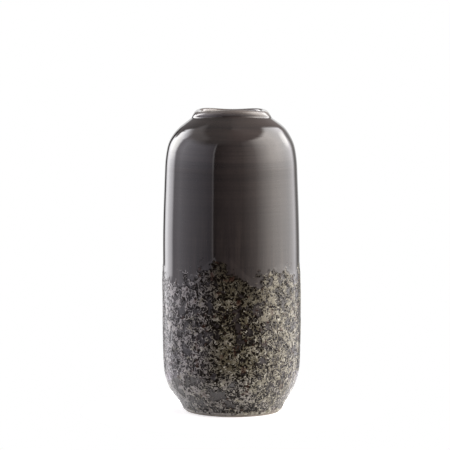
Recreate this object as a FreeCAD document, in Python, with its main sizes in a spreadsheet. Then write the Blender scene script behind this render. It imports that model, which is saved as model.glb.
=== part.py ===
import FreeCAD, Part
import math
import os
import Sketcher
from collections import namedtuple

# Bottle vase: a thrown stoneware pot under three coats of fired glaze.
# Millimetres, +Z up. The origin is the centre of the foot ring, on the table, and -Y is the front.
# The clay and each coat of glaze is a solid of its own. A coat lies exactly on the surface below it.

# Every size is a corner of the wall's outline, a thickness or a height of glaze.
# The outline's sides are straight between corners. A share says how much of each side the round
# at a corner may take up, and the shares at a side's two ends add up to less than one, so the
# rounds always fit between their neighbours.
SIZES = {
    # Whole vase
    "vase_height": 260.0,            # table to the top of the glazed lip
    "belly_radius": 58.4,            # clay at its widest
    # Foot
    "foot_radius": 40.6,             # outer edge where the clay stands on the table
    "foot_ring_width": 7.0,
    "foot_recess_depth": 3.0,        # turned out of the underside
    "heel_height": 8.4,              # top of the hollow sweep above the table
    "heel_flare": 3.9,
    "hip_height": 25.0,              # where the belly's wall begins
    "hip_inset": 1.6,
    # Belly
    "belly_low_height": 60.0,
    "belly_high_height": 152.0,
    # Shoulder, stacked down from the top of the clay
    "neck_height": 7.4,
    "slope_height": 13.1,
    "shoulder_height": 20.5,
    "shoulder_inset": 2.5,
    "crown_inset": 6.8,
    # Neck and lip
    "mouth_radius": 25.9,            # bare clay
    "lip_thickness": 4.2,
    "neck_flare": 4.2,
    # Inside of the wall
    "wall_thickness": 5.0,
    "floor_thickness": 8.0,
    "hip_thickening": 3.0,           # how much higher the hollow's lower round sits
    "roof_drop": 2.5,
    "throat_drop": 2.4,
    # Rounds at the corners of the outline
    "foot_bend_share": 0.2,
    "ring_bend_share": 0.3,
    "heel_bend_share": 0.27,
    "heel_upper_bend_share": 0.2,    # of the side above the heel
    "hip_bend_share": 0.75,
    "hip_upper_bend_share": 0.5,     # of the side above the hip, outside and in the hollow
    "belly_low_bend_share": 0.47,
    "belly_high_bend_share": 0.5,
    "shoulder_bend_share": 0.47,
    "crown_bend_share": 0.5,
    "neck_bend_share": 0.28,
    "lip_bend_share": 0.45,
    "throat_bend_share": 0.4,
    "hollow_hip_bend_share": 0.55,
    "well_bend_share": 0.4,
    # Coats of glaze
    "glaze_thickness": 0.4,
    "glaze_line_height": 1.8,        # bare clay below this, wiped clean for the kiln shelf
    "glaze_dip_depth": 4.8,          # how far the outer glaze turns down into the mouth
    "liner_thickness": 0.3,
    "crust_thickness": 0.5,
    "crust_line_height": 2.4,
    "crust_height": 126.0,           # middle of the crust's wavy upper edge
    "crust_wave": 9.5,               # how far the edge rises and falls from there
    # Extra length of the shape that trims the crust
    "overrun": 5.0,
}

# Rise of the crust's upper edge at equal steps round the vase, as shares of crust_wave.
# The first is at the back, and they run by way of the left side to the front and the right side.
crust_edge_shares = (0.9, -0.6, 0.3, -0.8, -0.2, -0.5, -1.0, 0.4, 0.95, -0.85, 0.4, -0.5,
                     0.1, -0.7, 0.6, -0.2)

# Heights measured down from the top of the clay
CLAY_TOP = "Sizes.vase_height - Sizes.glaze_thickness"
NECK_LEVEL = CLAY_TOP + " - Sizes.neck_height"
CROWN_LEVEL = NECK_LEVEL + " - Sizes.slope_height"
SHOULDER_LEVEL = CROWN_LEVEL + " - Sizes.shoulder_height"
DIP_LEVEL = CLAY_TOP + " - Sizes.glaze_dip_depth"
FLOOR_LEVEL = "Sizes.foot_recess_depth + Sizes.floor_thickness"

# Radii that several corners share
HEEL_RADIUS = "Sizes.foot_radius + Sizes.heel_flare"
HIP_RADIUS = "Sizes.belly_radius - Sizes.hip_inset"
SHOULDER_RADIUS = "Sizes.belly_radius - Sizes.shoulder_inset"
CROWN_RADIUS = "Sizes.belly_radius - Sizes.crown_inset"
LIP_RADIUS = "Sizes.mouth_radius + Sizes.lip_thickness"
RING_RADIUS = "Sizes.foot_radius - Sizes.foot_ring_width"

# A corner of an outline: its radius and height, and the share of its sides that its round may
# take up, or None for a sharp corner. The side after the corner can have a share of its own.
Corner = namedtuple("Corner", "radius height share after_share", defaults=(None, None))

OUTSIDE = (
    Corner("Sizes.foot_radius", "0", "Sizes.foot_bend_share"),
    Corner(HEEL_RADIUS, "Sizes.heel_height", "Sizes.heel_bend_share",
           "Sizes.heel_upper_bend_share"),
    Corner(HIP_RADIUS, "Sizes.hip_height", "Sizes.hip_bend_share", "Sizes.hip_upper_bend_share"),
    Corner("Sizes.belly_radius", "Sizes.belly_low_height", "Sizes.belly_low_bend_share"),
    Corner("Sizes.belly_radius", "Sizes.belly_high_height", "Sizes.belly_high_bend_share"),
    Corner(SHOULDER_RADIUS, SHOULDER_LEVEL, "Sizes.shoulder_bend_share"),
    Corner(CROWN_RADIUS, CROWN_LEVEL, "Sizes.crown_bend_share"),
    Corner(LIP_RADIUS + " + Sizes.neck_flare", NECK_LEVEL, "Sizes.neck_bend_share"),
    Corner(LIP_RADIUS, CLAY_TOP, "Sizes.lip_bend_share"),
)

INSIDE = (
    Corner("Sizes.mouth_radius", CLAY_TOP, "Sizes.lip_bend_share"),
    Corner("Sizes.mouth_radius", NECK_LEVEL + " - Sizes.throat_drop", "Sizes.throat_bend_share"),
    Corner(CROWN_RADIUS + " - Sizes.wall_thickness", CROWN_LEVEL + " - Sizes.roof_drop",
           "Sizes.crown_bend_share"),
    Corner(SHOULDER_RADIUS + " - Sizes.wall_thickness", SHOULDER_LEVEL,
           "Sizes.shoulder_bend_share"),
    Corner("Sizes.belly_radius - Sizes.wall_thickness", "Sizes.belly_high_height",
           "Sizes.belly_high_bend_share"),
    Corner("Sizes.belly_radius - Sizes.wall_thickness", "Sizes.belly_low_height",
           "Sizes.belly_low_bend_share"),
    Corner(HIP_RADIUS + " - Sizes.wall_thickness", "Sizes.hip_height + Sizes.hip_thickening",
           "Sizes.hip_upper_bend_share", "Sizes.hollow_hip_bend_share"),
    Corner(HEEL_RADIUS + " - Sizes.wall_thickness", FLOOR_LEVEL, "Sizes.well_bend_share"),
    Corner("0", FLOOR_LEVEL),
)

UNDERSIDE = (
    Corner("0", "Sizes.foot_recess_depth"),
    Corner(RING_RADIUS, "Sizes.foot_recess_depth", "Sizes.ring_bend_share"),
    Corner(RING_RADIUS, "0", "Sizes.ring_bend_share"),
)

UP = FreeCAD.Vector(0, 0, 1)
FULL_TURN = 360

# How a sketch numbers the points of its shapes, and its own axes, which count down, and its origin
START, END, CENTRE = range(1, 4)
HORIZONTAL_AXIS = -1
VERTICAL_AXIS = HORIZONTAL_AXIS - 1
ORIGIN = (HORIZONTAL_AXIS, START)


def make_sheet(doc):
    """The spreadsheet that drives every piece, one named size in each row."""
    sheet = doc.addObject("Spreadsheet::Sheet", "Sizes")
    for row, (name, size) in enumerate(SIZES.items(), start=1):
        sheet.set(f"A{row}", name)
        sheet.set(f"B{row}", str(size))
        sheet.setAlias(f"B{row}", name)
    doc.recompute()
    return sheet


def place(sheet, corner):
    """Where a corner lies in a sketch, as a vector."""
    radius = float(sheet.evalExpression(corner.radius))
    height = float(sheet.evalExpression(corner.height))
    return FreeCAD.Vector(radius, height, 0)


def side_length(first, second):
    """The length of the side between two corners, as an expression."""
    run = f"({second.radius}) - ({first.radius})"
    rise = f"({second.height}) - ({first.height})"
    return f"hypot({run}; {rise})"


def bend_reach(before, corner, after):
    """How far from a corner its round begins and ends, as an expression."""
    after_share = corner.after_share or corner.share
    return (f"min({corner.share} * {side_length(before, corner)}; "
            f"{after_share} * {side_length(corner, after)})")


def round_arc(before, corner, after, reach):
    """The arc that rounds a corner, and whether it is drawn from the side after it."""
    back = (before - corner).normalize()
    ahead = (after - corner).normalize()
    half = back.getAngle(ahead) / 2
    radius = reach * math.tan(half)
    middle = (back + ahead).normalize()
    centre = corner + middle * (radius / math.sin(half))
    start = corner + back * reach
    end = corner + ahead * reach
    backwards = back.cross(ahead).z > 0
    if backwards:
        start, end = end, start
    start_angle = math.atan2(start.y - centre.y, start.x - centre.x)
    end_angle = math.atan2(end.y - centre.y, end.x - centre.x)
    return Part.ArcOfCircle(Part.Circle(centre, UP, radius), start_angle, end_angle), backwards


class Drawing:
    """A sketch being drawn. Its constraints are added together, then bound to the sheet."""

    def __init__(self, sketch, sheet):
        self.sketch = sketch
        self.sheet = sheet
        self.constraints = []
        self.drivers = {}

    def value(self, expression):
        return float(self.sheet.evalExpression(expression))

    def hold(self, *parts):
        self.constraints.append(Sketcher.Constraint(*parts))

    def drive(self, expression, *parts):
        self.drivers[len(self.constraints)] = expression
        self.hold(*parts, self.value(expression))

    def pin_height(self, shape, end, height):
        if height == "0":
            self.hold("PointOnObject", shape, end, HORIZONTAL_AXIS)
        else:
            self.drive(height, "DistanceY", *ORIGIN, shape, end)

    def pin(self, shape, end, corner):
        if corner.radius == "0":
            self.hold("PointOnObject", shape, end, VERTICAL_AXIS)
        else:
            self.drive(corner.radius, "DistanceX", *ORIGIN, shape, end)
        self.pin_height(shape, end, corner.height)

    def finish(self):
        self.sketch.addConstraint(self.constraints)
        for index, expression in self.drivers.items():
            self.sketch.setExpression(f"Constraints[{index}]", expression)


class Outline:
    """The sides of an outline, and its rounds, each with the sides that it joins."""

    def __init__(self):
        self.sides = []
        self.rounds = []

    def join(self, drawing, arc, backwards, before, after):
        first, last = (END, START) if backwards else (START, END)
        drawing.hold("Tangent", before, END, arc, first)
        drawing.hold("Tangent", arc, last, after, START)
        self.rounds.append((arc, backwards, before, after))


def trimmed(drawing, corner, other, trim):
    """The point at a trim's height on the side from one corner to another."""
    corner, other = place(drawing.sheet, corner), place(drawing.sheet, other)
    if trim is None:
        return corner
    share = (drawing.value(trim) - corner.y) / (other.y - corner.y)
    return corner + (other - corner) * share


def draw_side(drawing, corners, index, reaches, trims, closed, hidden):
    """Draw the side that follows a corner, short of the rounds at its two ends."""
    following = (index + 1) % len(corners)
    start, end = place(drawing.sheet, corners[index]), place(drawing.sheet, corners[following])
    along = (end - start).normalize()
    start += along * reaches[index]
    end -= along * reaches[following]
    if not closed and index == 0:
        start = trimmed(drawing, corners[0], corners[1], trims[0])
    if not closed and following == len(corners) - 1:
        end = trimmed(drawing, corners[-1], corners[-2], trims[1])
    return drawing.sketch.addGeometry(Part.LineSegment(start, end), hidden)


def draw_round(drawing, outline, before, corner, after, sides, hidden):
    """Round a corner between its two sides, tangent to both."""
    sketch, sheet = drawing.sketch, drawing.sheet
    reach = bend_reach(before, corner, after)
    point = sketch.addGeometry(Part.Point(place(sheet, corner)), True)
    drawing.pin(point, START, corner)
    arc, backwards = round_arc(place(sheet, before), place(sheet, corner), place(sheet, after),
                               drawing.value(reach))
    outline.join(drawing, sketch.addGeometry(arc, hidden), backwards, *sides)
    drawing.hold("PointOnObject", point, START, sides[0])
    drawing.hold("PointOnObject", point, START, sides[1])
    drawing.drive(reach, "Distance", point, START, sides[0], END)


def hold_end(drawing, side, end, corner, trim):
    """Hold an open end of an outline, at its corner or at a trim's height along the side."""
    if trim is None:
        drawing.pin(side, end, corner)
        return
    point = drawing.sketch.addGeometry(Part.Point(place(drawing.sheet, corner)), True)
    drawing.pin(point, START, corner)
    drawing.hold("PointOnObject", point, START, side)
    drawing.pin_height(side, end, trim)


def draw_outline(drawing, corners, closed=False, trims=(None, None), hidden=False):
    """Draw the sides and rounds of an outline. An open one may be trimmed at either end."""
    count = len(corners)
    last = count - 1
    reaches = [0.0] * count
    for index, corner in enumerate(corners):
        if corner.share is not None and (closed or 0 < index < last):
            reach = bend_reach(corners[index - 1], corner, corners[(index + 1) % count])
            reaches[index] = drawing.value(reach)
    outline = Outline()
    for index in range(count if closed else last):
        outline.sides.append(draw_side(drawing, corners, index, reaches, trims, closed, hidden))
    sides = outline.sides
    for index, corner in enumerate(corners):
        if not closed and index == 0:
            hold_end(drawing, sides[0], START, corner, trims[0])
        elif not closed and index == last:
            hold_end(drawing, sides[-1], END, corner, trims[1])
        elif reaches[index]:
            draw_round(drawing, outline, corners[index - 1], corner, corners[(index + 1) % count],
                       (sides[index - 1], sides[index]), hidden)
        else:
            drawing.hold("Coincident", sides[index - 1], END, sides[index], START)
            drawing.pin(sides[index], START, corner)
    return outline


def draw_cap(drawing, inner, outer, end, side, hidden):
    """Close the gap between two parallel outlines with a line square to them."""
    shapes = drawing.sketch.Geometry
    points = [shapes[line].StartPoint if end == START else shapes[line].EndPoint
              for line in (inner, outer)]
    cap = drawing.sketch.addGeometry(Part.LineSegment(*points), hidden)
    drawing.hold("Coincident", cap, START, inner, end)
    drawing.hold("Coincident", cap, END, outer, end)
    drawing.hold("Perpendicular", cap, side)


def draw_parallel(drawing, outline, distance, hidden=False, caps_hidden=False):
    """Draw an outline again, moved to its open-air side by a distance, and cap both ends."""
    sketch = drawing.sketch
    gap = drawing.value(distance)
    parallel = Outline()
    for side in outline.sides:
        line = sketch.Geometry[side]
        shift = (line.EndPoint - line.StartPoint).normalize().cross(UP) * gap
        copy = Part.LineSegment(line.StartPoint + shift, line.EndPoint + shift)
        parallel.sides.append(sketch.addGeometry(copy, hidden))
        drawing.hold("Parallel", side, parallel.sides[-1])
    for arc, backwards, before, after in outline.rounds:
        old = sketch.Geometry[arc]
        radius = old.Radius - gap if backwards else old.Radius + gap
        copy = Part.ArcOfCircle(Part.Circle(old.Center, UP, radius),
                                old.FirstParameter, old.LastParameter)
        new = sketch.addGeometry(copy, hidden)
        drawing.hold("Coincident", arc, CENTRE, new, CENTRE)
        moved = dict(zip(outline.sides, parallel.sides))
        parallel.join(drawing, new, backwards, moved[before], moved[after])
    drawing.drive(distance, "Distance", parallel.sides[0], START, outline.sides[0])
    for end, index in ((START, 0), (END, -1)):
        draw_cap(drawing, outline.sides[index], parallel.sides[index], end,
                 outline.sides[index], caps_hidden)
    return parallel


def make_body(doc, sheet, label):
    """An empty body with an upright sketch in it, and a drawing on the sketch."""
    name = "".join(word.capitalize() for word in label.split("_"))
    body = doc.addObject("PartDesign::Body", name)
    body.Label = label
    sketch = body.newObject("Sketcher::SketchObject", name + "Section")
    upright = next(item for item in body.Origin.OriginFeatures if item.Role == "XZ_Plane")
    sketch.AttachmentSupport = (upright, [""])
    sketch.MapMode = "FlatFace"
    return body, sketch, Drawing(sketch, sheet)


def turn(doc, body, sketch):
    """Turn a body's section a full circle about the vase's axis."""
    doc.recompute()
    turned = body.newObject("PartDesign::Revolution", body.Name + "Turned")
    turned.Profile = sketch
    turned.ReferenceAxis = (sketch, ["V_Axis"])
    turned.Angle = FULL_TURN
    body.Tip = turned


def make_stoneware_body(doc, sheet):
    """The clay: foot ring, floor, wall, shoulder, neck and lip, turned as one section."""
    body, sketch, drawing = make_body(doc, sheet, "stoneware_body")
    draw_outline(drawing, OUTSIDE + INSIDE + UNDERSIDE, closed=True)
    drawing.finish()
    turn(doc, body, sketch)
    return body


def make_outer_glaze(doc, sheet):
    """The smooth coat: from the glaze line above the foot, over the lip and into the mouth."""
    body, sketch, drawing = make_body(doc, sheet, "outer_glaze")
    clay = draw_outline(drawing, OUTSIDE + INSIDE[:2], trims=("Sizes.glaze_line_height", DIP_LEVEL))
    draw_parallel(drawing, clay, "Sizes.glaze_thickness")
    drawing.finish()
    turn(doc, body, sketch)
    return body


def make_liner_glaze(doc, sheet):
    """The waterproof coat inside, which meets the outer glaze end to end in the mouth."""
    body, sketch, drawing = make_body(doc, sheet, "liner_glaze")
    clay = draw_outline(drawing, INSIDE, trims=(DIP_LEVEL, None))
    draw_parallel(drawing, clay, "Sizes.liner_thickness")
    drawing.finish()
    turn(doc, body, sketch)
    return body


def make_whole_crust(doc, sheet):
    """The raised coat before its upper edge is cut: over the glaze, as far as the shoulder."""
    body, sketch, drawing = make_body(doc, sheet, "whole_crust")
    clay = draw_outline(drawing, OUTSIDE[:6], trims=("Sizes.crust_line_height", None), hidden=True)
    glaze = draw_parallel(drawing, clay, "Sizes.glaze_thickness", caps_hidden=True)
    draw_parallel(drawing, glaze, "Sizes.crust_thickness")
    drawing.finish()
    turn(doc, body, sketch)
    return body


def crust_edge(sheet, radius):
    """A closed wavy curve at a radius, at the level of the crust's upper edge."""
    middle = float(sheet.evalExpression("Sizes.crust_height"))
    wave = float(sheet.evalExpression("Sizes.crust_wave"))
    count = len(crust_edge_shares)
    points = []
    for step, share in enumerate(crust_edge_shares):
        angle = 2 * math.pi * step / count
        points.append(FreeCAD.Vector(-radius * math.sin(angle), radius * math.cos(angle),
                                     middle + wave * share))
    curve = Part.BSplineCurve()
    curve.interpolate(Points=points, PeriodicFlag=True,
                      Parameters=[step / count for step in range(count + 1)])
    return curve.toShape()


def make_crust_glaze(doc, sheet):
    """The raised speckled coat over the glaze of the lower half, with a wavy upper edge."""
    overrun = float(sheet.evalExpression("Sizes.overrun"))
    inner = crust_edge(sheet, float(sheet.evalExpression("Sizes.foot_radius")) - overrun)
    outer = crust_edge(sheet, float(sheet.evalExpression("Sizes.belly_radius")) + overrun)
    depth = float(sheet.evalExpression("Sizes.crust_height + Sizes.crust_wave"))
    ring = doc.addObject("Part::Feature", "CrustTrim")
    ring.Shape = Part.makeRuledSurface(inner, outer).extrude(UP * -depth)
    crust = doc.addObject("Part::Common", "CrustGlaze")
    crust.Base = make_whole_crust(doc, sheet)
    crust.Tool = ring
    crust.Label = "crust_glaze"
    return crust


def check(doc, pieces):
    """Stop with a plain message if anything in the document failed to build."""
    for item in doc.Objects:
        if "Invalid" in item.State or "Error" in item.State:
            raise RuntimeError(f"{item.Label} failed to build")
    for piece in pieces:
        shape = piece.Shape
        if shape.isNull() or not shape.isValid() or len(shape.Solids) != 1:
            raise RuntimeError(f"{piece.Label} is not one valid solid")


def report(pieces):
    """Print each piece's volume, reach and height."""
    for piece in pieces:
        box = piece.Shape.optimalBoundingBox(False)
        print(f"{piece.Label}: {piece.Shape.Volume:.0f} cubic mm, radius {box.XMax:.2f}, "
              f"height {box.ZMin:.2f} to {box.ZMax:.2f}")


def main():
    doc = FreeCAD.newDocument("BottleVase")
    sheet = make_sheet(doc)
    pieces = [make(doc, sheet) for make in (make_stoneware_body, make_outer_glaze,
                                            make_liner_glaze, make_crust_glaze)]
    doc.recompute()
    check(doc, pieces)
    report(pieces)
    os.makedirs("parts", exist_ok=True)
    for piece in pieces:
        piece.Shape.exportStep(f"parts/{piece.Label}.step")


main()
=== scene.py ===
import math

import bpy
import numpy as np
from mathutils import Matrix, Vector


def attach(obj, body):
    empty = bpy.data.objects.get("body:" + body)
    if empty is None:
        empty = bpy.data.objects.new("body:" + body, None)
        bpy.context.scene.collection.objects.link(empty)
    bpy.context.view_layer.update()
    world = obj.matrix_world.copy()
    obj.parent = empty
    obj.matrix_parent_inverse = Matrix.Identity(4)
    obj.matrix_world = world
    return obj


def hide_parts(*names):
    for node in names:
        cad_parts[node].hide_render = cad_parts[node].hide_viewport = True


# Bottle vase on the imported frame. Sizes are in millimetres unless a comment says otherwise. Turns are
# measured from the front, by way of the right side.
MM = 0.001

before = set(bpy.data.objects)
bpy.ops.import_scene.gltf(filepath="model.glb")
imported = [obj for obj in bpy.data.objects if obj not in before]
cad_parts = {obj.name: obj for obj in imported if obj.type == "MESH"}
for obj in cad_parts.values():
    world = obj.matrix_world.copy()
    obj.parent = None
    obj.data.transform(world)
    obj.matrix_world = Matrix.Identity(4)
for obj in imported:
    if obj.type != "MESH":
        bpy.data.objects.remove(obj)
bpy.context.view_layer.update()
scene = bpy.context.scene


# The vase's outline

VASE_HEIGHT = 260.0
GLAZE = 0.4         # thickness of the smooth coat
GLAZE_LINE = 1.8    # bare clay below this
GLAZE_DIP = 4.8     # how far the coat turns down into the mouth
CLAY_TOP = VASE_HEIGHT - GLAZE
NECK = CLAY_TOP - 7.4
CROWN = NECK - 13.1
SHOULDER = CROWN - 20.5

# Corners of the clay from the foot to the mouth: radius, height, and the share of the side before
# and of the side after that the round at the corner may take up. The corners of the crown, neck and
# lip lie up to 0.7 mm off the CAD part's, and the lip's bead has one corner more.
CORNERS = (
    (40.6, 0.0, 0, 0),
    (44.5, 8.4, 0.27, 0.2),
    (56.8, 25.0, 0.75, 0.5),
    (58.4, 60.0, 0.47, 0.47),
    (58.4, 152.0, 0.5, 0.5),
    (55.9, SHOULDER, 0.39, 0.39),
    (51.9, CROWN + 0.2, 0.6, 0.6),
    (33.8, NECK + 0.5, 0.28, 0.4),
    (33.0, CLAY_TOP - 4.6, 0.3, 0.2),
    (30.7, CLAY_TOP, 0.4, 0.44),
    (25.9, CLAY_TOP, 0.44, 0.44),
    (25.9, NECK - 2.4, 0, 0),
)

# Points of a path that are closer together than this count as one
SHORTEST_STEP = 0.01
# A cut leaves out the points that are closer to it than this
CUT_ROOM = 0.05


def outline_path(corners, side_step, turn_step):
    """Points along the rounded outline, each with its outward normal, as two arrays of rows."""
    corners = [(np.array(c[:2], float), c[2], c[3]) for c in corners]
    points = []
    normals = []

    def add_side(start, end):
        along = end - start
        length = np.linalg.norm(along)
        normal = np.array([along[1], -along[0]]) / length
        for share in np.linspace(0, 1, max(2, math.ceil(length / side_step) + 1)):
            points.append(start + along * share)
            normals.append(normal)

    here = corners[0][0]
    for before, corner, after in zip(corners, corners[1:], corners[2:]):
        back = before[0] - corner[0]
        ahead = after[0] - corner[0]
        reach = min(corner[1] * np.linalg.norm(back), corner[2] * np.linalg.norm(ahead))
        back = back / np.linalg.norm(back)
        ahead = ahead / np.linalg.norm(ahead)
        start = corner[0] + back * reach
        end = corner[0] + ahead * reach
        add_side(here, start)
        half = math.acos(np.clip(back @ ahead, -1, 1)) / 2
        radius = reach * math.tan(half)
        middle = (back + ahead) / np.linalg.norm(back + ahead)
        centre = corner[0] + middle * radius / math.sin(half)
        first = (start - centre) / radius
        last = (end - centre) / radius
        turn = math.acos(np.clip(first @ last, -1, 1))
        outward = 1 if first @ np.array([-back[1], back[0]]) > 0 else -1
        count = max(2, math.ceil(turn / turn_step), math.ceil(turn * radius / side_step))
        for share in np.linspace(0, 1, count + 1)[1:-1]:
            spoke = (first * math.sin((1 - share) * turn) + last * math.sin(share * turn)) / math.sin(turn)
            points.append(centre + spoke * radius)
            normals.append(spoke * outward)
        here = end
    add_side(here, corners[-1][0])
    return np.array(points), np.array(normals)


def cut_path(points, normals, start_height, end_height):
    """The path from a height near its start to a height near its end."""
    first = np.argmax(points[:, 1] > start_height + CUT_ROOM)
    share = (start_height - points[first - 1, 1]) / (points[first, 1] - points[first - 1, 1])
    start = points[first - 1] + (points[first] - points[first - 1]) * share
    last = len(points) - 1 - np.argmax(points[::-1, 1] > end_height + CUT_ROOM)
    share = (end_height - points[last, 1]) / (points[last + 1, 1] - points[last, 1])
    end = points[last] + (points[last + 1] - points[last]) * share
    kept = slice(first, last + 1)
    points = np.vstack([start, points[kept], end])
    normals = np.vstack([normals[first], normals[kept], normals[last]])
    keep = np.append(True, np.linalg.norm(np.diff(points, axis=0), axis=1) > SHORTEST_STEP)
    return points[keep], normals[keep]


# Shape made by hand: the wavy lip and a body slightly out of round

# How far the lip and the crease below it stand above their plane, at eight equal turns from the front
LIP_WAVE = (2.0, 0.8, 0.0, 0.4, -0.8, 0.7, -0.1, -0.1)
CREASE_WAVE = (0.9, 1.3, 0.4, 0.0, 0.0, 0.0, 0.6, 2.2)

# How far each part of the wall is pushed out at most, or drawn in where it is below zero
RIGHT_SHOULDER_PUSH = 1.1
LEFT_WALL_PUSH = 0.5
RIGHT_FOOT_PUSH = 1.0
LEFT_FOOT_PUSH = -1.1
FRONT_LEFT_FOOT_PUSH = -3.0
RIGHT_BELLY_PUSH = 0.5
LEFT_BELLY_PUSH = 0.45
# Where the lip's lift raises the slope below it in front, this share of the lift draws the slope in again
CREASE_PUSH = -0.9


def periodic(knots, turn):
    """A smooth closed curve through equally spaced knots, the first at turn 0."""
    knots = np.asarray(knots, float)
    spectrum = np.fft.rfft(knots) / len(knots)
    value = np.full(np.shape(turn), spectrum[0].real)
    for order in range(1, len(spectrum)):
        factor = 1 if 2 * order == len(knots) else 2
        term = spectrum[order] * np.exp(1j * order * np.asarray(turn))
        value = value + factor * term.real
    return value


def smooth(low, high, value):
    """A smooth step from 0 to 1 as the value goes from low to high."""
    share = np.clip((np.asarray(value, float) - low) / (high - low), 0, 1)
    return share * share * (3 - 2 * share)


def hump(middle, width, value):
    """1 at the middle, falling off on both sides."""
    return np.exp(-((value - middle) / width) ** 2)


def degrees_from_front(turn):
    """Degrees from the front, either way round."""
    return np.degrees(np.arccos(np.cos(turn)))


def lip_lift(turn, height):
    """How far the hand that pulled the lip left it, and the crease below it, above or below their plane."""
    lip = periodic(LIP_WAVE, turn) * smooth(239, 252, height)
    crease = periodic(CREASE_WAVE, turn) * smooth(238, 250.5, height) * smooth(259, 253.5, height)
    return lip + crease


def hand_push(turn, height):
    """How far the hand that threw the pot left its wall out from the true circle."""
    right = np.maximum(np.sin(turn), 0) ** 2
    left = np.maximum(-np.sin(turn), 0) ** 2
    front_left = np.maximum(-np.sin(turn), 0) * np.maximum(np.cos(turn), 0)
    shoulder = RIGHT_SHOULDER_PUSH * right * hump(248, 6.5, height)
    wall = LEFT_WALL_PUSH * left * smooth(110, 160, height) * smooth(246, 232, height)
    foot = (RIGHT_FOOT_PUSH * right + LEFT_FOOT_PUSH * left
            + FRONT_LEFT_FOOT_PUSH * front_left) * smooth(24, 6, height)
    belly = (RIGHT_BELLY_PUSH * right * smooth(25, 45, height) * smooth(125, 100, height)
             + LEFT_BELLY_PUSH * left * hump(112, 12, height))
    crease = (CREASE_PUSH * lip_lift(turn, height) * smooth(259.5, 252.5, height)
              * smooth(90, 60, degrees_from_front(turn)))
    return shoulder + wall + foot + belly + crease


# The crust's upper edge, as in the CAD part: rise at 16 equal steps from the back by way of the left
crust_edge_shares = (0.9, -0.6, 0.3, -0.8, -0.2, -0.5, -1.0, 0.4, 0.95, -0.85, 0.4, -0.5,
                     0.1, -0.7, 0.6, -0.2)
CRUST_HEIGHT = 126.0
CRUST_WAVE = 9.5
CRUST_LINE = 2.4
# How far the crust's sheet goes on above the edge's highest point, for flecks that lie beyond it
CRUST_TOP_ROOM = 16.0


def crust_edge(turn):
    """Height of the crust's upper edge at a turn from the front."""
    return CRUST_HEIGHT + CRUST_WAVE * periodic(crust_edge_shares, np.asarray(turn) + math.pi)


def turned_mesh(name, points, closed, segments):
    """Turn a path about the axis and shape it by hand. Two attributes keep what the patterns read:
    rest, each point's place before that, and rise, its height above the crust's upper edge."""
    turns = np.arange(segments) * 2 * math.pi / segments
    grid_turn, radius = np.meshgrid(turns, points[:, 0])
    height = np.repeat(points[:, 1][:, None], segments, 1)
    rest = np.stack([radius * np.sin(grid_turn), -radius * np.cos(grid_turn), height], -1)
    rise = height - crust_edge(grid_turn)
    lifted = height + lip_lift(grid_turn, height)
    radius = radius + hand_push(grid_turn, height)
    co = np.stack([radius * np.sin(grid_turn), -radius * np.cos(grid_turn), lifted], -1) * MM
    rows = len(points)
    index = np.arange(rows * segments).reshape(rows, segments)
    if closed:
        index = np.vstack([index, index[:1]])
    low = index[:-1]
    high = index[1:]
    quads = np.stack([low, np.roll(low, -1, 1), np.roll(high, -1, 1), high], -1).reshape(-1, 4)
    mesh = bpy.data.meshes.new(name)
    mesh.from_pydata(co.reshape(-1, 3).tolist(), [], quads.tolist())
    mesh.shade_smooth()
    for label, kind, field, values in (("rest", "FLOAT_VECTOR", "vector", rest),
                                       ("rise", "FLOAT", "value", rise)):
        attribute = mesh.attributes.new(label, kind, "POINT")
        attribute.data.foreach_set(field, values.astype(np.float32).ravel())
    return place_piece(name, mesh)


def place_piece(name, mesh):
    """Add a mesh to the scene as an object."""
    piece = bpy.data.objects.new(name, mesh)
    scene.collection.objects.link(piece)
    return piece


# Node chains that work alike in materials and in geometry nodes

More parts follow.
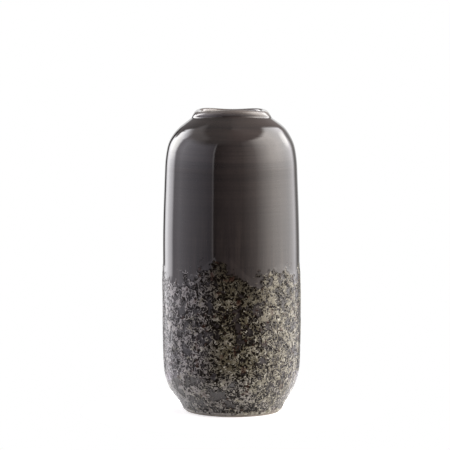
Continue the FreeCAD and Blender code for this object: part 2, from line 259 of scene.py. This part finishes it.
class Chain:
    """Adds nodes to a tree. Every input is a socket or a number."""

    def __init__(self, tree):
        self.tree = tree

    def node(self, kind, **settings):
        node = self.tree.nodes.new(kind)
        for name, value in settings.items():
            setattr(node, name, value)
        return node

    def plug(self, socket, value):
        if isinstance(value, bpy.types.NodeSocket):
            self.tree.links.new(value, socket)
        else:
            socket.default_value = value

    def math(self, operation, *values):
        node = self.node("ShaderNodeMath", operation=operation)
        for socket, value in zip(node.inputs, values):
            self.plug(socket, value)
        return node.outputs[0]

    def add(self, *values):
        total = values[0]
        for value in values[1:]:
            total = self.math("ADD", total, value)
        return total

    def less(self, a, b):
        return self.math("SUBTRACT", a, b)

    def inverse(self, share):
        return self.math("SUBTRACT", 1.0, share)

    def mul(self, a, b):
        return self.math("MULTIPLY", a, b)

    def most(self, a, b):
        return self.math("MAXIMUM", a, b)

    def size(self, value):
        return self.math("ABSOLUTE", value)

    def step(self, value, low, high, start=0.0, end=1.0):
        """A smooth step from start to end as the value goes from low to high."""
        node = self.node("ShaderNodeMapRange", interpolation_type="SMOOTHSTEP")
        for name, given in (("Value", value), ("From Min", low), ("From Max", high),
                            ("To Min", start), ("To Max", end)):
            self.plug(node.inputs[name], given)
        return node.outputs[0]

    def band(self, value, low, first, last, high):
        """1 from first to last, falling to 0 at low and at high."""
        return self.mul(self.step(value, low, first), self.step(value, high, last))

    def vector(self, operation, vector, other):
        node = self.node("ShaderNodeVectorMath", operation=operation)
        self.plug(node.inputs[0], vector)
        self.plug(node.inputs[1], other)
        return node

    def scale(self, vector, factors):
        return self.vector("MULTIPLY", vector, factors).outputs[0]

    def shift(self, vector, offset):
        return self.vector("ADD", vector, offset).outputs[0]

    def stretch(self, vector, factor):
        """The vector times one number."""
        node = self.node("ShaderNodeVectorMath", operation="SCALE")
        self.plug(node.inputs[0], vector)
        self.plug(node.inputs["Scale"], factor)
        return node.outputs[0]

    def split(self, vector):
        """The vector's three parts."""
        node = self.node("ShaderNodeSeparateXYZ")
        self.plug(node.inputs[0], vector)
        return node.outputs

    def noise(self, vector, size, detail=2.0, roughness=0.5, colour=False):
        """Noise with features of about a size in millimetres, from 0 to 1 with most near a half."""
        node = self.node("ShaderNodeTexNoise", noise_dimensions="3D")
        self.plug(node.inputs["Vector"], vector)
        node.inputs["Scale"].default_value = 1.0 / size
        node.inputs["Detail"].default_value = detail
        node.inputs["Roughness"].default_value = roughness
        return node.outputs["Color" if colour else "Fac"]

    def centred(self, colour, reach):
        """A noise's colour as a push to and fro."""
        return self.scale(self.shift(colour, (-0.5, -0.5, -0.5)), (reach, reach, reach))

    def ridge(self, value):
        """1 where the noise crosses its middle, falling to 0 away from it."""
        return self.inverse(self.mul(self.size(self.less(value, 0.5)), 2.0))

    def mix(self, factor, first, second):
        node = self.node("ShaderNodeMix", data_type="RGBA")
        for socket, value in ((node.inputs[0], factor), (node.inputs[6], first), (node.inputs[7], second)):
            self.plug(socket, (*value, 1.0) if isinstance(value, tuple) else value)
        return node.outputs[2]


# The crust's pattern. The vectors added to a noise's place only keep the noises apart.

# Where the crust's upper edge leaves its planned line: a band of X, the rise at which the change sets in
# and is full, and how much more crust there is
EDGE_BENDS = (
    ((6.0, 11.0, 14.0, 19.0), (-16.0, -5.0), -0.12),
    ((-52.0, -46.0, -24.0, -16.0), (-20.0, -8.0), 0.1),
    ((17.0, 21.0, 24.0, 28.0), (-24.0, -12.0), 0.1),
)
CELL_SIZE = 4.2


def fleck_field(chain, rest, rise):
    """The crust's pattern, each part from 0 to 1: raised flecks, crusted ground and the pits in it."""
    drift = chain.centred(chain.noise(rest, 6.0, detail=1.0, colour=True), 4.5)
    curl = chain.centred(chain.noise(rest, 2.1, detail=1.0, colour=True), 2.8)
    place = chain.shift(chain.shift(rest, drift), curl)
    across, _, height = chain.split(rest)

    # How thick the crust lies: in colonies, thinner towards its upper edge
    side = chain.step(across, -15.0, 42.0, 0.0, 0.04)
    feather = chain.step(rise, -12.0, 7.0, 0.0, -0.3)
    bends = [chain.mul(chain.band(across, *span), chain.step(rise, *onset, 0.0, amount))
             for span, onset, amount in EDGE_BENDS]
    colony = chain.less(chain.noise(rest, 9.0, detail=4.0, roughness=0.6), 0.5)
    level = chain.add(chain.mul(colony, 1.2), side, feather, *bends)
    gaps = chain.less(chain.noise(chain.shift(rest, (5.0, 0.0, 9.0)), 3.6, detail=1.0), 0.5)

    # Curls and finer twigs, which lie where a bent noise crosses its middle
    waves = chain.noise(place, 3.5, detail=0.0)
    curls = chain.step(chain.add(chain.ridge(waves), chain.mul(level, 0.25)), 0.882, 0.914)
    curls = chain.mul(curls, chain.step(chain.add(level, chain.mul(gaps, 0.9)), -0.07, 0.02))
    twigs = chain.ridge(chain.noise(chain.shift(place, (31.0, 7.0, 0.0)), 2.5, detail=0.0))
    twigs = chain.step(chain.add(twigs, chain.mul(level, 0.2)), 0.895, 0.93)
    twigs = chain.mul(twigs, chain.step(chain.add(level, chain.mul(gaps, -0.9)), -0.02, 0.06))

    # Small loops round the middles of some cells
    cells = chain.node("ShaderNodeTexVoronoi")
    chain.plug(cells.inputs["Vector"], chain.shift(rest, curl))
    cells.inputs["Scale"].default_value = 1 / CELL_SIZE
    away = chain.size(chain.less(cells.outputs["Distance"], 0.34))
    chosen = chain.split(cells.outputs["Color"])[0]
    kept = chain.step(chain.add(chosen, chain.mul(level, 1.5)), 0.7, 0.78)
    loops = chain.mul(chain.step(away, 0.095, 0.06), kept)

    # Lumps, and the broken line of crust above the foot
    lumps = chain.noise(chain.shift(place, (0.0, 0.0, 19.0)), 3.4, detail=1.0)
    lumps = chain.step(chain.add(lumps, chain.mul(level, 0.7)), 0.7, 0.725)
    seam = chain.mul(chain.step(height, 4.6, 3.4), chain.step(gaps, -0.12, -0.02))

    bare = 1.0
    for mask in (curls, twigs, loops, lumps, seam):
        bare = chain.mul(bare, chain.inverse(mask))
    within = chain.step(rise, 12.0, 7.0)
    fleck = chain.mul(chain.inverse(bare), within)
    ground = chain.mul(chain.step(level, -0.16, -0.05), within)

    # Pits: scattered, along the curls, and in a row above the foot; the glaze paints shade into them. The
    # line along one side of each curl is a painted shadow, and there are fewer scattered pits at the right,
    # where the light is strong
    holes = chain.noise(chain.shift(rest, (0.0, 0.0, 33.0)), 2.0, detail=2.0, roughness=0.55)
    holes = chain.step(chain.add(holes, chain.step(across, -30.0, 0.0, -0.03, 0.04),
                                 chain.step(across, 12.0, 32.0, 0.0, -0.08),
                                 chain.step(height, 50.0, 12.0, 0.0, 0.05)), 0.45, 0.52)
    # Painted shadow: a dark line on one side of each curl
    curl_shadow = chain.band(waves, 0.56, 0.58, 0.63, 0.68)
    row = chain.mul(chain.band(height, 3.6, 4.6, 7.0, 9.0), chain.step(waves, 0.44, 0.5))
    pits = chain.most(chain.most(holes, row), curl_shadow)
    pits = chain.mul(chain.mul(pits, ground), chain.inverse(fleck))
    return fleck, ground, pits


# Materials, with colours as linear light

DARK = (0.015, 0.0130, 0.0124)
DARK_WARM = (0.030, 0.0245, 0.0218)
# Painted shade: near-black for the shadow inside the pits and in the pitted ground
PIT_SHADE = (0.0040, 0.0028, 0.0016)
OLIVE = (0.075, 0.067, 0.042)
# Paler grey for the flecks at the left and low down: painted light
GREY = (0.22, 0.21, 0.20)
BEIGE = (0.158, 0.149, 0.111)
CREAM = (0.325, 0.318, 0.268)
RUST = (0.052, 0.024, 0.016)
# Painted sheen: the pale colour of the lip's top stands in for the light it catches from above
PAINTED_LIP_SHEEN = (0.165, 0.152, 0.14)
SAND = (0.25, 0.225, 0.19)
PALE_SAND = (0.35, 0.322, 0.28)
CLAY_SPECK = (0.12, 0.075, 0.045)
CLAY_RING = (0.22, 0.15, 0.1)
LINER = (0.06, 0.032, 0.023)
LINER_PALE = (0.085, 0.05, 0.036)
LINER_SPECK = (0.02, 0.012, 0.009)
GLAZE_IOR = 1.5

# How strongly the flecks stand out in each coat's shading. The crust's own mesh is raised as well.
GLAZE_FLECK_RELIEF = 0.06
CRUST_FLECK_RELIEF = 0.03


def new_material(name):
    material = bpy.data.materials.new(name)
    material.use_nodes = True
    tree = material.node_tree
    shader = next(node for node in tree.nodes if node.type == "BSDF_PRINCIPLED")
    return material, Chain(tree), shader


def read_attribute(chain, name, output):
    return chain.node("ShaderNodeAttribute", attribute_name=name).outputs[output]


def object_place(chain):
    """Where a point lies on the object, in millimetres."""
    place = chain.node("ShaderNodeTexCoord").outputs["Object"]
    return chain.scale(place, (1 / MM, 1 / MM, 1 / MM))


def bump(chain, shader, height, distance):
    """Relief in the shading: height, from 0 to 1, stands for a distance in millimetres."""
    node = chain.node("ShaderNodeBump")
    chain.plug(node.inputs["Height"], height)
    node.inputs["Distance"].default_value = distance * MM
    node.inputs["Strength"].default_value = 1.0
    chain.plug(shader.inputs["Normal"], node.outputs[0])


def fleck_tone(chain, rest, rise, across, height):
    """The flecks' colour: olive, with beige and cream on it. The grey at the left and low down, the extra
    beige and cream towards the right and the less of it in the front middle are painted light and shade.
    """
    patch = chain.noise(chain.shift(rest, (40.0, 0.0, 0.0)), 9.0, detail=4.0, roughness=0.6)
    # Painted light and shade: more beige towards the right, less at the left and in the front middle
    patch = chain.add(patch, chain.step(across, -12.0, 26.0, -0.07, 0.06),
                      chain.step(rise, -40.0, -6.0, 0.0, -0.08))
    # Painted light: paler grey flecks on the weakly lit left side, and low on the flanks, where the floor's
    # light is reflected
    grey = chain.most(chain.step(across, -6.0, -34.0), chain.step(height, 48.0, 18.0, 0.0, 0.8))
    tone = chain.mix(grey, OLIVE, GREY)
    tone = chain.mix(chain.step(patch, 0.46, 0.6), tone, BEIGE)
    fine = chain.noise(chain.shift(rest, (0.0, 25.0, 0.0)), 2.4, detail=2.0, roughness=0.6)
    fine = chain.add(fine, chain.step(across, -12.0, 26.0, -0.03, 0.0),
                     chain.step(rise, -35.0, -6.0, 0.0, -0.1),
                     chain.step(height, 50.0, 10.0, 0.0, 0.02))
    return chain.mix(chain.step(fine, 0.52, 0.68), tone, CREAM)


def glaze_material(name, fleck_relief):
    """Glossy dark glaze that carries the speckle where the crust lies on it."""
    material, chain, shader = new_material(name)
    rest = read_attribute(chain, "rest", "Vector")
    rise = read_attribute(chain, "rise", "Fac")
    across, _, height = chain.split(rest)

    # The smooth glaze: throwing rings on the shoulder, runs towards the crust, and a paler band on the
    # lip's top, which is a painted sheen standing in for the light the lip catches from above
    rings = chain.noise(chain.scale(rest, (0.018, 0.018, 1.0)), 4.2, detail=3.0, roughness=0.65)
    runs = chain.noise(chain.scale(rest, (1.0, 1.0, 0.05)), 3.0, detail=3.0, roughness=0.6)
    cloud = chain.noise(rest, 22.0, detail=4.0, roughness=0.6)
    ring_share = chain.step(height, 175.0, 225.0, 0.22, 0.95)
    run_share = chain.step(rise, 60.0, 5.0, 0.15, 0.8)
    thin = chain.add(chain.mul(chain.less(rings, 0.5), ring_share),
                     chain.mul(chain.less(runs, 0.5), run_share),
                     chain.mul(chain.less(cloud, 0.5), 0.35),
                     chain.step(height, 222.0, 246.0, -0.06, 0.06))
    colour = chain.mix(chain.step(thin, -0.24, 0.26), DARK, DARK_WARM)
    # Painted sheen: the lip's top is painted paler where it catches light from above
    lip_sheen = chain.mul(chain.step(height, 253.0, 258.5, 0.0, 0.72),
                       chain.step(height, 260.0, 259.3, 0.25, 1.0))
    colour = chain.mix(lip_sheen, colour, PAINTED_LIP_SHEEN)

    # The crust: dark ground and pits with painted shade on them, most in the front middle and least at the
    # right, rust stains, and the flecks, which are painted dimmer towards the upper edge in the front
    # middle
    fleck, ground, pits = fleck_field(chain, rest, rise)
    # The front middle, where the ground gets the most painted shade and reflects least
    middle = chain.step(chain.size(across), 32.0, 12.0)
    ground_shade = chain.add(chain.mul(middle, 0.25), chain.step(across, 5.0, 35.0, 0.6, 0.32))
    colour = chain.mix(chain.mul(ground, ground_shade), colour, PIT_SHADE)
    # Painted shade in the pits, less of it at the right, where the light is strong
    colour = chain.mix(chain.mul(pits, chain.step(across, 5.0, 35.0, 1.0, 0.65)), colour, PIT_SHADE)
    rust = chain.step(chain.noise(chain.shift(rest, (0.0, 70.0, 0.0)), 6.5, detail=3.0), 0.6, 0.67)
    colour = chain.mix(chain.mul(chain.mul(rust, ground), 0.4), colour, RUST)
    tone = chain.mix(chain.mul(rust, 0.45), fleck_tone(chain, rest, rise, across, height), RUST)
    # Painted shade: the flecks are dimmed in the front middle towards the crust's upper edge
    dim = chain.mul(chain.step(rise, -38.0, -6.0, 0.0, 0.6), chain.band(across, -42.0, -22.0, 12.0, 26.0))
    colour = chain.mix(chain.mul(fleck, chain.inverse(dim)), colour, tone)
    chain.plug(shader.inputs["Base Color"], colour)

    # Gloss: the crust is rougher and reflects less
    smear = chain.noise(rest, 14.0, detail=3.0)
    rough = chain.add(chain.step(smear, 0.3, 0.7, 0.035, 0.06), chain.mul(ground, 0.08),
                      chain.mul(fleck, 0.1), chain.mul(pits, 0.15))
    chain.plug(shader.inputs["Roughness"], rough)
    dull = chain.add(chain.mul(ground, chain.add(chain.mul(middle, 0.17), 0.16)), chain.mul(pits, 0.3))
    dull = chain.mul(dull, chain.step(height, 14.0, 50.0, 0.6, 1.0))
    chain.plug(shader.inputs["Specular IOR Level"], chain.less(0.5, dull))
    shader.inputs["IOR"].default_value = GLAZE_IOR

    # Relief in the shading, in millimetres
    peel = chain.noise(rest, 2.4, detail=1.0)
    grain = chain.mul(chain.noise(rest, 2.0, detail=2.0, roughness=0.6), ground)
    relief = chain.add(chain.mul(rings, chain.step(height, 195.0, 222.0, 0.06, 0.11)),
                       chain.mul(runs, 0.018), chain.mul(peel, 0.004), chain.mul(grain, 0.1),
                       chain.mul(fleck, fleck_relief), chain.mul(pits, -0.05))
    bump(chain, shader, relief, 1.0)
    return material


def stoneware_material():
    """Bare fired clay with a sandy grain and darker specks."""
    material, chain, shader = new_material("Stoneware")
    place = object_place(chain)
    cloud = chain.noise(place, 12.0, detail=4.0, roughness=0.6)
    colour = chain.mix(chain.step(cloud, 0.35, 0.65), SAND, PALE_SAND)
    grain = chain.noise(place, 0.7, detail=3.0, roughness=0.7)
    colour = chain.mix(chain.step(grain, 0.6, 0.72, 0.0, 0.7), colour, CLAY_SPECK)
    rings = chain.noise(chain.scale(place, (0.03, 0.03, 1.0)), 1.6, detail=2.0)
    colour = chain.mix(chain.step(rings, 0.5, 0.75, 0.0, 0.35), colour, CLAY_RING)
    chain.plug(shader.inputs["Base Color"], colour)
    chain.plug(shader.inputs["Roughness"], chain.step(grain, 0.3, 0.7, 0.72, 0.9))
    bump(chain, shader, chain.add(grain, chain.mul(rings, 0.8)), 0.15)
    return material


def liner_material():
    """Glossy reddish-brown glaze inside the vase."""
    material, chain, shader = new_material("LinerGlaze")
    place = object_place(chain)
    rings = chain.noise(chain.scale(place, (0.02, 0.02, 1.0)), 5.0, detail=3.0)
    cloud = chain.noise(place, 15.0, detail=4.0, roughness=0.6)
    colour = chain.mix(chain.step(cloud, 0.35, 0.65), LINER, LINER_PALE)
    specks = chain.noise(place, 1.1, detail=2.0)
    colour = chain.mix(chain.step(specks, 0.66, 0.74, 0.0, 0.7), colour, LINER_SPECK)
    chain.plug(shader.inputs["Base Color"], colour)
    chain.plug(shader.inputs["Roughness"], chain.step(cloud, 0.3, 0.7, 0.12, 0.2))
    shader.inputs["IOR"].default_value = GLAZE_IOR
    bump(chain, shader, rings, 0.2)
    return material


# Pieces

GLAZE_SIDE_STEP = 1.75
GLAZE_TURN_STEP = math.radians(9)
GLAZE_SEGMENTS = 256
CRUST_SIDE_STEP = 0.78
CRUST_TURN_STEP = math.radians(4)
CRUST_SEGMENTS = 460

# The crust's relief: how deep its thin rim is sunk into the glaze, and how thick the parts lie on that
CRUST_SINK = -0.1
CRUST_BODY = 0.4
CRUST_FLECK = 0.16
CRUST_LUMPS = 0.2


def make_glaze():
    """The smooth coat: a thin closed shell from the glaze line, over the lip, into the mouth."""
    clay, normals = outline_path(CORNERS, GLAZE_SIDE_STEP, GLAZE_TURN_STEP)
    clay, normals = cut_path(clay, normals, GLAZE_LINE, CLAY_TOP - GLAZE_DIP)
    points = np.vstack([clay + normals * GLAZE, clay[::-1]])
    return turned_mesh("GlazeCoat", points, True, GLAZE_SEGMENTS)


def make_crust():
    """The raised coat: a fine sheet over the lower half, lifted by the speckle's own pattern."""
    clay, normals = outline_path(CORNERS, CRUST_SIDE_STEP, CRUST_TURN_STEP)
    clay, normals = cut_path(clay, normals, CRUST_LINE, CLAY_TOP - GLAZE_DIP)
    top = np.argmax(clay[:, 1] > CRUST_HEIGHT + CRUST_WAVE + CRUST_TOP_ROOM)
    glaze = clay[:top] + normals[:top] * GLAZE
    piece = turned_mesh("CrustCoat", glaze, False, CRUST_SEGMENTS)
    modifier = piece.modifiers.new("Relief", "NODES")
    tree = bpy.data.node_groups.new("Relief", "GeometryNodeTree")
    tree.interface.new_socket("Geometry", in_out="INPUT", socket_type="NodeSocketGeometry")
    tree.interface.new_socket("Geometry", in_out="OUTPUT", socket_type="NodeSocketGeometry")
    chain = Chain(tree)
    source = chain.node("NodeGroupInput")
    result = chain.node("NodeGroupOutput")
    named = {}
    for name, kind in (("rest", "FLOAT_VECTOR"), ("rise", "FLOAT")):
        reader = chain.node("GeometryNodeInputNamedAttribute", data_type=kind)
        reader.inputs["Name"].default_value = name
        named[name] = reader.outputs["Attribute"]
    fleck, ground, _ = fleck_field(chain, named["rest"], named["rise"])
    lumps = chain.mul(chain.noise(named["rest"], 5.0, detail=2.0), ground)
    body = chain.step(named["rise"], 6.0, -6.0, 0.0, CRUST_BODY)
    lift = chain.add(CRUST_SINK, body, chain.mul(fleck, CRUST_FLECK), chain.mul(lumps, CRUST_LUMPS))
    normal = chain.node("GeometryNodeInputNormal").outputs[0]
    mover = chain.node("GeometryNodeSetPosition")
    chain.plug(mover.inputs["Geometry"], source.outputs[0])
    chain.plug(mover.inputs["Offset"], chain.stretch(normal, chain.mul(lift, MM)))
    chain.plug(result.inputs[0], mover.outputs[0])
    modifier.node_group = tree
    apply_modifiers(piece)
    return piece


def apply_modifiers(piece):
    """Put the result of a piece's modifiers into its mesh."""
    evaluated = piece.evaluated_get(bpy.context.evaluated_depsgraph_get())
    mesh = bpy.data.meshes.new_from_object(evaluated)
    piece.modifiers.clear()
    old = piece.data
    piece.data = mesh
    bpy.data.meshes.remove(old)
    mesh.shade_smooth()


def lifted_copy(node, name):
    """A copy of a CAD node with the lip's wave and the hand's push in it."""
    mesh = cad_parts[node].data.copy()
    co = np.zeros(len(mesh.vertices) * 3, np.float32)
    mesh.vertices.foreach_get("co", co)
    co = co.reshape(-1, 3)
    turn = np.arctan2(co[:, 0], -co[:, 1])
    height = co[:, 2] / MM
    push = hand_push(turn, height) * MM
    co[:, 0] += push * np.sin(turn)
    co[:, 1] -= push * np.cos(turn)
    co[:, 2] += lip_lift(turn, height) * MM
    mesh.vertices.foreach_set("co", co.ravel())
    mesh.update()
    mesh.name = name
    return place_piece(name, mesh)


def dress(piece, material, node):
    """Give a piece its material and let it stand for its CAD node."""
    piece.data.materials.clear()
    piece.data.materials.append(material)
    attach(piece, "root")
    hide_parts(node)


dress(make_glaze(), glaze_material("DarkGlaze", GLAZE_FLECK_RELIEF), "outer_glaze")
dress(make_crust(), glaze_material("SpeckledGlaze", CRUST_FLECK_RELIEF), "crust_glaze")
dress(lifted_copy("stoneware_body", "ClayBody"), stoneware_material(), "stoneware_body")
dress(lifted_copy("liner_glaze", "LinerCoat"), liner_material(), "liner_glaze")


# Floor, studio and camera, with lengths in metres

WHITE = (1.0, 1.0, 1.0)
FLOOR_RADIUS = 0.13
FLOOR_SIDES = 96
FLOOR_GREY = (0.82, 0.82, 0.82, 1)
# From the axis, where the floor that the camera sees begins to brighten and where it is white
FLOOR_FADE = (0.045, 0.1)


def make_floor():
    """A round pale floor. The camera sees it as white as the backdrop, apart from the vase's shadow."""
    angles = [2 * math.pi * k / FLOOR_SIDES for k in range(FLOOR_SIDES)]
    ring = [(FLOOR_RADIUS * math.sin(angle), FLOOR_RADIUS * math.cos(angle), 0) for angle in angles]
    mesh = bpy.data.meshes.new("Floor")
    mesh.from_pydata(ring, [], [list(range(FLOOR_SIDES - 1, -1, -1))])
    floor = place_piece("Floor", mesh)
    material, chain, shader = new_material("PaleFloor")
    shader.inputs["Base Color"].default_value = FLOOR_GREY
    shader.inputs["Roughness"].default_value = 0.9
    shader.inputs["Emission Color"].default_value = (*WHITE, 1)
    reach = chain.node("ShaderNodeVectorMath", operation="LENGTH")
    chain.plug(reach.inputs[0], chain.node("ShaderNodeTexCoord").outputs["Object"])
    fade = chain.step(reach.outputs["Value"], *FLOOR_FADE, 0.5, 1.0)
    path = chain.node("ShaderNodeLightPath")
    seen = path.outputs["Is Camera Ray"]
    for kind in ("Is Glossy Ray", "Is Transmission Ray"):
        seen = chain.most(seen, path.outputs[kind])
    chain.plug(shader.inputs["Emission Strength"], chain.mul(seen, fade))
    mesh.materials.append(material)


# The studio that the glaze reflects. A stop is a bearing in degrees, with the front at 0 and the right
# side at 90, and the light's red, green and blue there.
PANELS = (
    (-180, 1.0, 1.0, 1.0), (-164, 1.0, 1.0, 1.0), (-161, 0.02, 0.02, 0.02), (-154, 0.02, 0.02, 0.02),
    (-146.5, 3.7, 3.65, 3.75), (-140, 5.0, 4.95, 5.1), (-121, 4.3, 4.2, 4.4), (-114.5, 1.15, 1.1, 1.2),
    (-98, 1.8, 1.75, 1.9), (-75, 1.3, 1.26, 1.4), (-33, 0.47, 0.45, 0.52), (-32.2, 1.15, 1.11, 1.15),
    (-30.4, 1.15, 1.11, 1.15), (-29.5, 0.02, 0.02, 0.02), (0, 0.26, 0.2, 0.2), (20, 0.36, 0.3, 0.29),
    (42, 1.2, 1.05, 1.0), (60, 3.2, 2.95, 2.8), (78, 5.1, 4.75, 4.5), (95, 5.3, 5.0, 4.8),
    (115, 4.0, 3.9, 3.85), (135.5, 3.75, 3.65, 3.75), (146, 0.65, 0.65, 0.65), (152, 0.3, 0.3, 0.3),
    (160, 0.5, 0.5, 0.5), (165, 1.0, 1.0, 1.0),
)
CEILING = (
    (-180, 0.38, 0.36, 0.36), (-90, 0.3, 0.28, 0.28), (-25, 0.38, 0.345, 0.34),
    (15, 0.48, 0.37, 0.37), (90, 0.88, 0.74, 0.72), (179, 0.45, 0.42, 0.42),
)
# Below the horizon
LOWER = (
    (-180, 2.65, 2.5, 2.75), (-100, 2.65, 2.5, 2.75), (-40, 0.44, 0.4, 0.46),
    (20, 0.44, 0.4, 0.46), (80, 2.3, 2.2, 2.25), (179, 2.65, 2.5, 2.75),
)
# Brightest parts of the two panels: direction, half width in degrees and strength
LAMPS = (
    ((0.709, 0.6165, 0.342), 12, 0.95),
    ((-0.722, 0.628, 0.292), 18, 0.8),
)
# Colours in a ramp stop at 1, so the studio is mixed from shares of this much light
MOST_LIGHT = 8.0
# The lamps and the glow over the left panel, as such shares
LAMP_COLOUR = (1.0, 0.98, 0.96)
HAZE = (0.125, 0.117, 0.117)


def make_studio():
    """A world of two tall soft panels, dark flags behind the vase's edges and a dark side in front."""
    world = bpy.data.worlds.new("Studio")
    scene.world = world
    world.use_nodes = True
    tree = world.node_tree
    chain = Chain(tree)
    background = next(node for node in tree.nodes if node.type == "BACKGROUND")
    direction = chain.node("ShaderNodeTexCoord").outputs["Generated"]
    x, y, z = chain.split(direction)
    rise = chain.math("DEGREES", chain.math("ARCSINE", z))
    bearing = chain.math("DEGREES", chain.math("ARCTAN2", x, chain.mul(y, -1.0)))

    def ramp(stops, place=bearing):
        node = chain.node("ShaderNodeValToRGB")
        chain.plug(node.inputs[0], chain.add(chain.mul(place, 1 / 360), 0.5))
        elements = node.color_ramp.elements
        while len(elements) > 1:
            elements.remove(elements[-1])
        for number, (stop, *light) in enumerate(stops):
            position = (stop + 180) / 360
            element = elements[0] if number == 0 else elements.new(position)
            element.position = position
            element.color = (*(part / MOST_LIGHT for part in light), 1)
        return node.outputs[0]

    # The panels, brighter higher up. The right panel's outer edge leans out with height.
    lean_out = chain.mul(chain.step(rise, 16.0, 26.0), chain.step(bearing, 60.0, 110.0, 0.0, -8.0))
    panels = ramp(PANELS, chain.add(bearing, lean_out))
    light = chain.stretch(panels, chain.step(rise, -8.0, 14.0, 0.74, 1.38))
    for lamp, wide, share in LAMPS:
        toward = chain.vector("DOT_PRODUCT", direction, lamp).outputs["Value"]
        core = chain.step(toward, math.cos(math.radians(wide)), 1.0, 0.0, share)
        light = chain.mix(core, light, LAMP_COLOUR)

    # The ceiling, above the panels and behind the vase
    haze = chain.mul(chain.step(rise, 63.0, 54.0), chain.band(bearing, -138.0, -128.0, -80.0, -50.0))
    ceiling = chain.mix(haze, ramp(CEILING), HAZE)
    top = chain.step(bearing, -60.0, 60.0, 43.5, 54.0)
    over = chain.step(chain.less(rise, top), chain.step(bearing, -60.0, 0.0, -14.0, -6.0), 3.0)
    light = chain.mix(over, light, ceiling)
    lean = chain.step(bearing, -20.0, 20.0, 0.65, 0.87)
    slant = chain.add(chain.size(bearing), chain.mul(chain.most(chain.add(rise, -28.0), 0.0), lean),
                      chain.step(bearing, -20.0, 20.0, -144.7, -149.0))
    behind = chain.mul(chain.step(slant, -2.2, 2.2), chain.step(rise, 14.0, 19.0))
    light = chain.mix(behind, light, ceiling)

    light = chain.mix(chain.step(rise, -9.0, -14.0), light, ramp(LOWER))
    light = chain.stretch(light, MOST_LIGHT)
    seen = chain.node("ShaderNodeLightPath").outputs["Is Camera Ray"]
    chain.plug(background.inputs["Color"], chain.mix(seen, light, WHITE))
    background.inputs["Strength"].default_value = 1.0


# The photo's frame and focal length in pixels, and the camera's sensor in millimetres
FRAME_WIDTH = 450
FOCAL_LENGTH = 3584
SENSOR_WIDTH = 36
CAMERA_PLACE = (0, -3.07, 0.454)
CAMERA_TARGET = (-0.0055, 0, 0.161)


def make_camera():
    camera = bpy.data.cameras.new("Camera")
    camera.sensor_width = SENSOR_WIDTH
    camera.lens = SENSOR_WIDTH * FOCAL_LENGTH / FRAME_WIDTH
    camera.clip_start = 0.05
    camera.clip_end = 50
    holder = place_piece("Camera", camera)
    holder.location = CAMERA_PLACE
    aim = np.array(CAMERA_TARGET) - np.array(CAMERA_PLACE)
    holder.rotation_euler = Vector(aim).to_track_quat("-Z", "Y").to_euler()
    scene.camera = holder


make_floor()
make_studio()
make_camera()
scene.view_settings.view_transform = "Standard"
